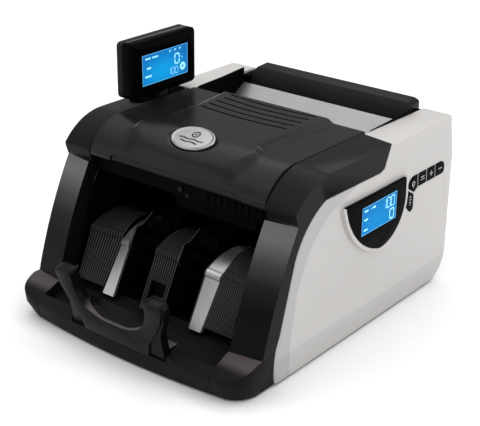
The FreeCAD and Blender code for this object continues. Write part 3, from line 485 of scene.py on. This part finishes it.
def dome_height(x, y):
    """Height of the raised middle over the flat of the lid, with flanks that widen towards the front."""
    here = np.stack([x, y], -1)[..., None, :]
    a = dome_border()
    b = np.roll(a, -1, 0)
    along = np.clip(((here - a) * (b - a)).sum(-1) / ((b - a) ** 2).sum(-1), 0, 1)
    reach = np.sqrt(((here - a - along[..., None] * (b - a)) ** 2).sum(-1)).min(-1)
    line_x = (b[:, 0] - a[:, 0]) * (y[..., None] - a[:, 1]) / (b[:, 1] - a[:, 1] + 1e-9) + a[:, 0]
    crossing = ((a[:, 1] > y[..., None]) != (b[:, 1] > y[..., None])) & (x[..., None] < line_x)
    inside = crossing.sum(-1) % 2 == 1
    flank = 8.0 + 8.0 * np.clip((-48 - y) / 18, 0, 1)
    part = np.clip(np.where(inside, reach, -reach) / flank + 0.5, 0, 1)
    return DOME_RISE * part * part * (3 - 2 * part)


def lid_profile(x):
    """Profile of the lid at x as (y, z), from the rear edge over the top to the bottom of the lip."""
    rear, front = LID_HIGH.y, LID_LOW.y
    top = [(y, LID_FLAT - REAR_DROP * (y - FRONT_BEND) / (rear - FRONT_BEND))
           for y in np.linspace(rear - 0.5, FRONT_BEND + 1, 40)]
    bow = np.array(arc((FRONT_BEND, LID_FLAT), (-62, LID_FLAT - 5.2), (front, LID_FLAT - 24), 240))
    outside = min(max((abs(x) - 66) / 5, 0), 1)
    lip = LID_FLAT - LIP_DROP - CORNER_DROP * outside
    bow = bow[bow[:, 1] > lip]
    steps = np.linspace(0, len(bow) - 1, 34)
    bow = np.column_stack([np.interp(steps, range(len(bow)), bow[:, axis]) for axis in (0, 1)])
    sunk = SUNK_DEPTH if abs(x) < SUNK_HALF else 0.0
    end = bow[-1, 0]
    under = [(end + 0.25, lip - 0.35), (end + 0.1 + sunk, lip - 0.6), (front + 0.5 + sunk, LID_LOW.z + 1.6),
             (front + 1.0 + sunk, LID_LOW.z + 0.4)]
    wall = [(rear, LID_FLAT - below) for below in REAR_WALL]
    return np.array([*wall, *top, *bow, *under])


def seat_height(x, y):
    """Height the lid stays below round the badge: a flat seat with a dished border."""
    low, high = span("lid_badge")
    away = y - (low.y + high.y) / 2
    reach = np.hypot(x / (high.x + SEAT_MARGIN), away / math.cos(BADGE_TILT) / (BADGE_DEPTH + SEAT_MARGIN))
    flat = (low.z + high.z) / 2 + away * math.tan(BADGE_TILT) + 0.2
    return flat + 16 * np.clip(reach - 1, 0, None)


def lid_columns():
    """Places across the lid, close together over the badge and over the flanks of the raised middle."""
    half = [*range(0, 32), *range(32, 46, 3), *np.arange(46, 66, 0.8), 67, 68.5, 70, 71, 71.3,
            *range(74, 93, 3), LID_HIGH.x - 0.5]
    return [-x for x in reversed(half[1:])] + half


def lid_section(x):
    """Points of the lid's surface at x, and their normals in the plane of the section."""
    profile, wall = lid_profile(x), len(REAR_WALL)
    run = np.gradient(profile, axis=0)
    normal = np.stack([run[:, 1], -run[:, 0]], -1)
    normal /= np.linalg.norm(normal, axis=1)[:, None]
    normal[:wall + 1] = (0, 1)
    # The rear wall and the four points under the slope aren't raised.
    height = dome_height(np.full(len(profile), float(x)), profile[:, 0])
    height[:wall - 1] = 0
    height[-4:] = 0
    raised = profile + normal * height[:, None]
    raised[:, 1] = np.minimum(raised[:, 1], seat_height(x, raised[:, 0]))
    return np.column_stack([np.full(len(profile), x), raised]), normal


def lid_skirts(side):
    """Sections down one side of the lid, each further inside the outermost one."""
    edge, normal = lid_section(side * (LID_HIGH.x - 0.5))
    skirts = []
    for inward in (0.5, 3.0, 6.0):
        skirt = edge.copy()
        skirt[:, 0] = side * LID_HIGH.x
        skirt[:, 1:] -= normal * inward
        skirt[:len(REAR_WALL), 1] = LID_HIGH.y
        skirts.append(skirt)
    return skirts


def lid_shell():
    """Lid with a softly raised middle, side skirts and a front lip with a sunk band."""
    middle = [lid_section(x)[0] for x in lid_columns()]
    columns = lid_skirts(-1)[::-1] + middle + lid_skirts(1)
    verts = [tuple(point) for column in columns for point in column]
    return verts, grid_faces(len(columns), len(columns[0]))


def vent_cutters():
    """Bowed slots with round ends, one behind the other."""
    solids = []
    r = SLOT_WIDTH / 2
    xs = np.linspace(-SLOT_HALF, SLOT_HALF, 25)
    ends = [math.radians(a) for a in (60, 30, 0, -30, -60)]
    for i in range(SLOT_COUNT):
        y = LID_HIGH.y - FIRST_SLOT - SLOT_PITCH * i
        bow = [(x, y - SLOT_BOW * (1 - (x / SLOT_HALF) ** 2)) for x in xs]
        outline = [(x, b + r) for x, b in bow]
        outline += [(SLOT_HALF + r * math.cos(a), y + r * math.sin(a)) for a in ends]
        outline += [(x, b - r) for x, b in reversed(bow)]
        outline += [(-SLOT_HALF - r * math.cos(a), y - r * math.sin(a)) for a in ends]
        solids.append(prism([(px, py, LID_HIGH.z - 20) for px, py in outline], (0, 0, 30)))
    return gathered(solids)


def worked_in(made, cutter):
    """Work a piece's modifiers into its mesh and drop the cutter they used."""
    graph = bpy.context.evaluated_depsgraph_get()
    mesh = bpy.data.meshes.new_from_object(made.evaluated_get(graph))
    made.modifiers.clear()
    made.data = mesh
    bpy.data.objects.remove(cutter)


def lid_ears():
    """The two round ears that hold the lid on its hinge pins."""
    low, high = span("lid_hinge_pins")
    y, z = (low.y + high.y) / 2, (low.z + high.z) / 2
    width, radius = 8, 4
    ears = []
    for x in (-80 - width, 80):
        rounded = [(x, y + radius * math.cos(math.radians(a)), z + radius * math.sin(math.radians(a)))
                   for a in range(180, 361, 15)]
        ears.append(prism(rounded + [(x, y + radius, z + 5), (x, y - radius, z + 5)], (width, 0, 0)))
    return gathered(ears)


def build_lid():
    lid = outward(piece("lid_shell", *lid_shell(), "lid_black", "lid"))
    thick = lid.modifiers.new("thick", "SOLIDIFY")
    thick.thickness = LID_WALL * MM
    thick.offset = -1.0
    cutter = outward(piece("vent_cutter", *vent_cutters(), "lid_black", "lid"))
    cut = lid.modifiers.new("slots", "BOOLEAN")
    cut.object = cutter
    cut.solver = "EXACT"
    worked_in(lid, cutter)
    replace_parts(smoothed(lid), "lid")
    smoothed(outward(piece("lid_ears", *lid_ears(), "black_plastic", "lid")))


# ---------------------------------------------------------------- badge
BADGE_STEPS = 160
BADGE_LIFT = 0.5
RELIEF_EDGE = 0.86


def on_slope(points):
    """Lay points drawn flat at the origin on the front slope of the lid, where the badge sits."""
    low, high = span("lid_badge")
    y, z = (low.y + high.y) / 2, (low.z + high.z) / 2 + BADGE_LIFT
    c, s = math.cos(BADGE_TILT), math.sin(BADGE_TILT)
    return [(px, y + py * c - pz * s, z + py * s + pz * c) for px, py, pz in points]


def ridge(away, half_width, height):
    """Height of a rounded ridge at a distance from its middle line."""
    return height * max(0.0, 1 - (away / half_width) ** 2)


def relief(x, y):
    """Raised ring round a dot, over two wavy bars."""
    centre = math.hypot(x - 0.5, y - 4.2)
    height = max(ridge(centre - 3.3, 0.75, 0.7), ridge(centre, 1.3, 0.6))
    for middle, reach in ((-2.6, 12.5), (-6.2, 9.0)):
        if abs(x) < reach:
            height = max(height, ridge(y - middle - 0.45 * math.sin(x * 0.55), 0.8, 0.7))
    return height


def oval(a, b, offset=0.0):
    """Points round an oval, shifted along it by a part of a step."""
    turns = [2 * math.pi * (i + offset) / BADGE_STEPS for i in range(BADGE_STEPS)]
    return [(a * math.cos(t), b * math.sin(t)) for t in turns]


def oval_disc(a, b, rings, with_relief=False):
    """Closed oval disc through (fraction of the radius, height) rings, from the middle to the bottom."""
    verts = []
    for fraction, height in rings:
        for x, y in oval(a * fraction, b * fraction):
            raised = relief(x, y) if with_relief and fraction < RELIEF_EDGE else 0.0
            verts.append((x, y, height + raised))
    faces = grid_faces(len(rings), BADGE_STEPS, closed=True)
    faces.append(tuple(range(BADGE_STEPS)))
    faces.append(tuple(reversed(range(len(verts) - BADGE_STEPS, len(verts)))))
    return on_slope(verts), faces


def flat_middles(a, b, rings):
    """Middle of each quad between neighbouring rings, on the flat."""
    middles = []
    for (inner, _), (outer, _) in zip(rings, rings[1:]):
        fraction = (inner + outer) / 2
        middles += oval(a * fraction, b * fraction, 0.5)
    return middles


def build_badge():
    a, b = span("lid_badge")[1].x, BADGE_DEPTH
    inner = (a - 1.0, b - 1.0)
    face = [(fraction, 1.75 - 0.45 * fraction ** 2) for fraction in (0.02 + 0.0144 * i for i in range(58))]
    rim = [(0.88, 1.5), (0.9, 1.75), (0.93, 1.95), (0.96, 1.85), (0.985, 1.45), (1.0, 0.8), (1.0, -0.6)]
    disc = outward(piece("badge_disc", *oval_disc(*inner, face + rim, True), "badge_metal", "lid"))
    disc.data.materials.append(MATERIALS["badge_dark"])
    for polygon, (x, y) in zip(disc.data.polygons, flat_middles(*inner, face)):
        if relief(x, y) > 0.12:
            polygon.material_index = 1
    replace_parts(smoothed(disc), "lid_badge")
    foot = [(0.3, 0.3), (0.97, 0.3), (0.99, 0.0), (1.0, -0.5), (1.0, -1.9)]
    smoothed(outward(piece("badge_foot", *oval_disc(a, b, foot), "gloss_black", "lid")))


# ---------------------------------------------------------------- screens and keys
MARK_THICK = 0.06


def bar(u, v, width, height):
    return [(u, v), (u + width, v), (u + width, v + height), (u, v + height)]


def ring(u, v, outer, inner, count=20):
    """Ring round (u, v) as small four-sided pieces."""
    turn = [2 * math.pi * i / count for i in range(count + 1)]
    return [[(u + r * math.cos(t), v + r * math.sin(t))
             for r, t in ((inner, a), (outer, a), (outer, b), (inner, b))] for a, b in zip(turn, turn[1:])]


def digit(segments, u, v, width, height, thick):
    """Seven-segment digit; segments names the lit ones."""
    half, gap = height / 2, thick * 0.35
    across, up = width - 2 * gap - thick, half - 2 * gap - thick / 2
    bars = {
        "a": bar(u + thick / 2 + gap, v + height - thick, across, thick),
        "b": bar(u + width - thick, v + half + gap, thick, up),
        "c": bar(u + width - thick, v + thick / 2 + gap, thick, up),
        "d": bar(u + thick / 2 + gap, v, across, thick),
        "e": bar(u, v + thick / 2 + gap, thick, up),
        "f": bar(u, v + half + gap, thick, up),
    }
    return [bars[s] for s in segments]


ZERO, ONE = "abcdef", "bc"


def marks(name, polygons, node, body, material, lift, origin=None):
    """Thin raised marks on the right-hand face of a node, measured from its lower near corner."""
    low, high = span(node)
    y, z = origin or (low.y, low.z)
    outlines = [[(high.x + lift, y + u, z + v) for u, v in polygon] for polygon in polygons]
    solids = [prism(outline, (MARK_THICK, 0, 0)) for outline in outlines]
    return outward(piece(name, *gathered(solids), material, body))


def screen(prefix, node, body, polygons):
    """Lit marks and the pale border of a liquid-crystal screen, as two pieces."""
    low, high = span(node)
    w, h = high.y - low.y, high.z - low.z
    inset, line = 0.3, 0.45
    edge = [bar(inset, v, w - 2 * inset, line) for v in (inset, h - inset - line)]
    edge += [bar(u, 0.8, line, h - 1.6) for u in (inset, w - inset - line)]
    return (marks(prefix + "_marks", polygons(w, h), node, body, "lcd_mark", 0.03),
            marks(prefix + "_edge", edge, node, body, "lcd_edge", 0.02))


def side_marks(w, h):
    rows = [bar(0.07 * w, v * h, 0.10 * w, 0.06 * h) for v in (0.81, 0.50, 0.14)]
    rows += [bar(0.25 * w, 0.82 * h, 0.02 * w, 0.04 * h), bar(0.3 * w, 0.81 * h, 0.08 * w, 0.06 * h)]
    rows += digit(ONE, 0.60 * w, 0.53 * h, 0.09 * w, 0.38 * h, 0.75)
    for u in (0.71, 0.83):
        rows += digit(ZERO, u * w, 0.53 * h, 0.105 * w, 0.38 * h, 0.75)
    return rows + digit(ZERO, 0.80 * w, 0.07 * h, 0.135 * w, 0.38 * h, 1.05)


def customer_marks(w, h):
    rows = [bar(0.07 * w, 0.83 * h, 0.11 * w, 0.05 * h), bar(0.22 * w, 0.83 * h, 0.12 * w, 0.05 * h),
            bar(0.10 * w, 0.51 * h, 0.09 * w, 0.06 * h), bar(0.06 * w, 0.25 * h, 0.14 * w, 0.06 * h)]
    for u in (0.59, 0.70, 0.81):
        rows.append(bar(u * w, 0.85 * h, 0.012 * w, 0.07 * h))
        rows.append(bar((u + 0.02) * w, 0.88 * h, 0.018 * w, 0.04 * h))
    rows += digit(ZERO, 0.70 * w, 0.40 * h, 0.12 * w, 0.36 * h, 1.35)
    rows += digit(ONE, 0.56 * w, 0.10 * h, 0.06 * w, 0.22 * h, 0.42)
    for u in (0.635, 0.715):
        rows += digit(ZERO, u * w, 0.10 * h, 0.065 * w, 0.22 * h, 0.42)
    return rows + ring(0.885 * w, 0.27 * h, 3.8, 1.2) + [bar(0.86 * w, 0.56 * h, 0.02 * w, 0.04 * h)]


def key_marks():
    """Small generic symbols: a stack of bars, a ring, long and short bars, a cross and dots."""
    symbols = [
        [bar(-1.5, v, 3.0, 0.8) for v in (3.2, 0.6, -2.0)] + [bar(-0.4, -4.6, 0.8, 1.6)],
        ring(0.6, 0.6, 2.3, 1.4) + [bar(-0.2, -2.9, 1.6, 0.7)],
        [bar(-3.0, 0.9, 6.0, 0.8), bar(-3.0, -1.6, 2.4, 0.8), bar(0.4, -1.6, 2.6, 0.8)],
        [bar(-2.6, -0.4, 5.2, 0.8), bar(-0.4, 0.6, 0.8, 2.0), bar(-0.4, -2.6, 0.8, 2.0)],
        [bar(u, -0.5, 1.2, 1.2) for u in (-2.8, -0.6, 1.6)],
    ]
    for node, polygons in zip(KEYS, symbols):
        low, high = span(node)
        middle = ((low.y + high.y) / 2, (low.z + high.z) / 2)
        marks(node + "_symbol", polygons, node, node, "key_mark", 0.01, middle)


def build_screens():
    """Marks on both screens.  The customer screen is kept out of the reflections on the lid."""
    screen("side_screen", "side_lcd", "chassis", side_marks)
    for lit in (NODES["display_lcd"], *screen("customer_screen", "display_lcd", "display", customer_marks)):
        lit.visible_glossy = False


build_lid()
build_badge()
build_screens()
key_marks()


# ---------------------------------------------------------------- studio
def floor_finish():
    """Even, nearly white paper."""
    made, tree, shader = finish_material("floor", {"Roughness": 0.9})
    fibre = tree.noise(300.0, 3.0)
    tree.links.new(tree.mix(fibre, grey(0.885), grey(0.9)), shader.inputs["Base Color"])
    tree.links.new(tree.bump(fibre, 0.00002, 0.3), shader.inputs["Normal"])
    return made


def floor():
    bpy.ops.mesh.primitive_plane_add(size=24)
    made = bpy.context.object
    made.name = "floor"
    made.data.materials.append(floor_finish())


def softbox(name, place, target, size, power):
    light = bpy.data.lights.new(name, "AREA")
    light.shape = "RECTANGLE"
    light.size, light.size_y = size
    light.energy = power
    made = bpy.data.objects.new(name, light)
    bpy.context.scene.collection.objects.link(made)
    made.location = place
    made.rotation_mode = "QUATERNION"
    made.rotation_quaternion = (Vector(target) - Vector(place)).to_track_quat("-Z", "Y")


# Brightness of the surroundings by height, from the horizon (0) to straight up (1).
SKY = ((0.0, 0.95), (0.13, 0.95), (0.2, 0.2), (0.28, 0.2), (0.42, 0.45), (0.6, 0.9), (0.8, 0.4), (1.0, 0.2))


def surroundings():
    world = bpy.data.worlds.new("studio")
    bpy.context.scene.world = world
    tree = Tree(world)
    sky = tree.ramp(tree.along("Generated", "Z"), [(height, grey(level)) for height, level in SKY])
    tree.links.new(sky, tree.nodes["Background"].inputs["Color"])


# Camera solved from the straight edges in the photo: place in metres, turns in degrees, lens in mm.
CAMERA_PLACE = (0.6088, -0.7533, 0.5064)
AZIMUTH, ELEVATION, ROLL = 38.615, 23.654, 0.574
SENSOR_WIDTH, LENS = 36.0, 90.37


def camera():
    azimuth, elevation, roll = (math.radians(a) for a in (AZIMUTH, ELEVATION, ROLL))
    back = Vector((math.sin(azimuth) * math.cos(elevation), -math.cos(azimuth) * math.cos(elevation),
                   math.sin(elevation)))
    side = (-back).cross(Vector((0, 0, 1))).normalized()
    up = side.cross(-back)
    right = math.cos(roll) * side + math.sin(roll) * up
    top = math.cos(roll) * up - math.sin(roll) * side
    lens = bpy.data.cameras.new("camera")
    lens.sensor_width = SENSOR_WIDTH
    lens.lens = LENS
    made = bpy.data.objects.new("camera", lens)
    bpy.context.scene.collection.objects.link(made)
    turn = Matrix((right, top, back)).transposed().to_4x4()
    made.matrix_world = Matrix.Translation(CAMERA_PLACE) @ turn
    bpy.context.scene.camera = made


floor()
surroundings()
camera()
softbox("overhead", place=(0.0, 0.5, 5.0), target=(0, 0.5, 0), size=(9.0, 9.0), power=400)
softbox("front_left", place=(-1.9, -2.4, 1.1), target=(0, 0, 0.1), size=(1.8, 1.4), power=9)
softbox("right", place=(1.9, 0.9, 0.7), target=(0, 0, 0.1), size=(0.9, 0.9), power=9)
bpy.context.scene.view_settings.view_transform = "Standard"
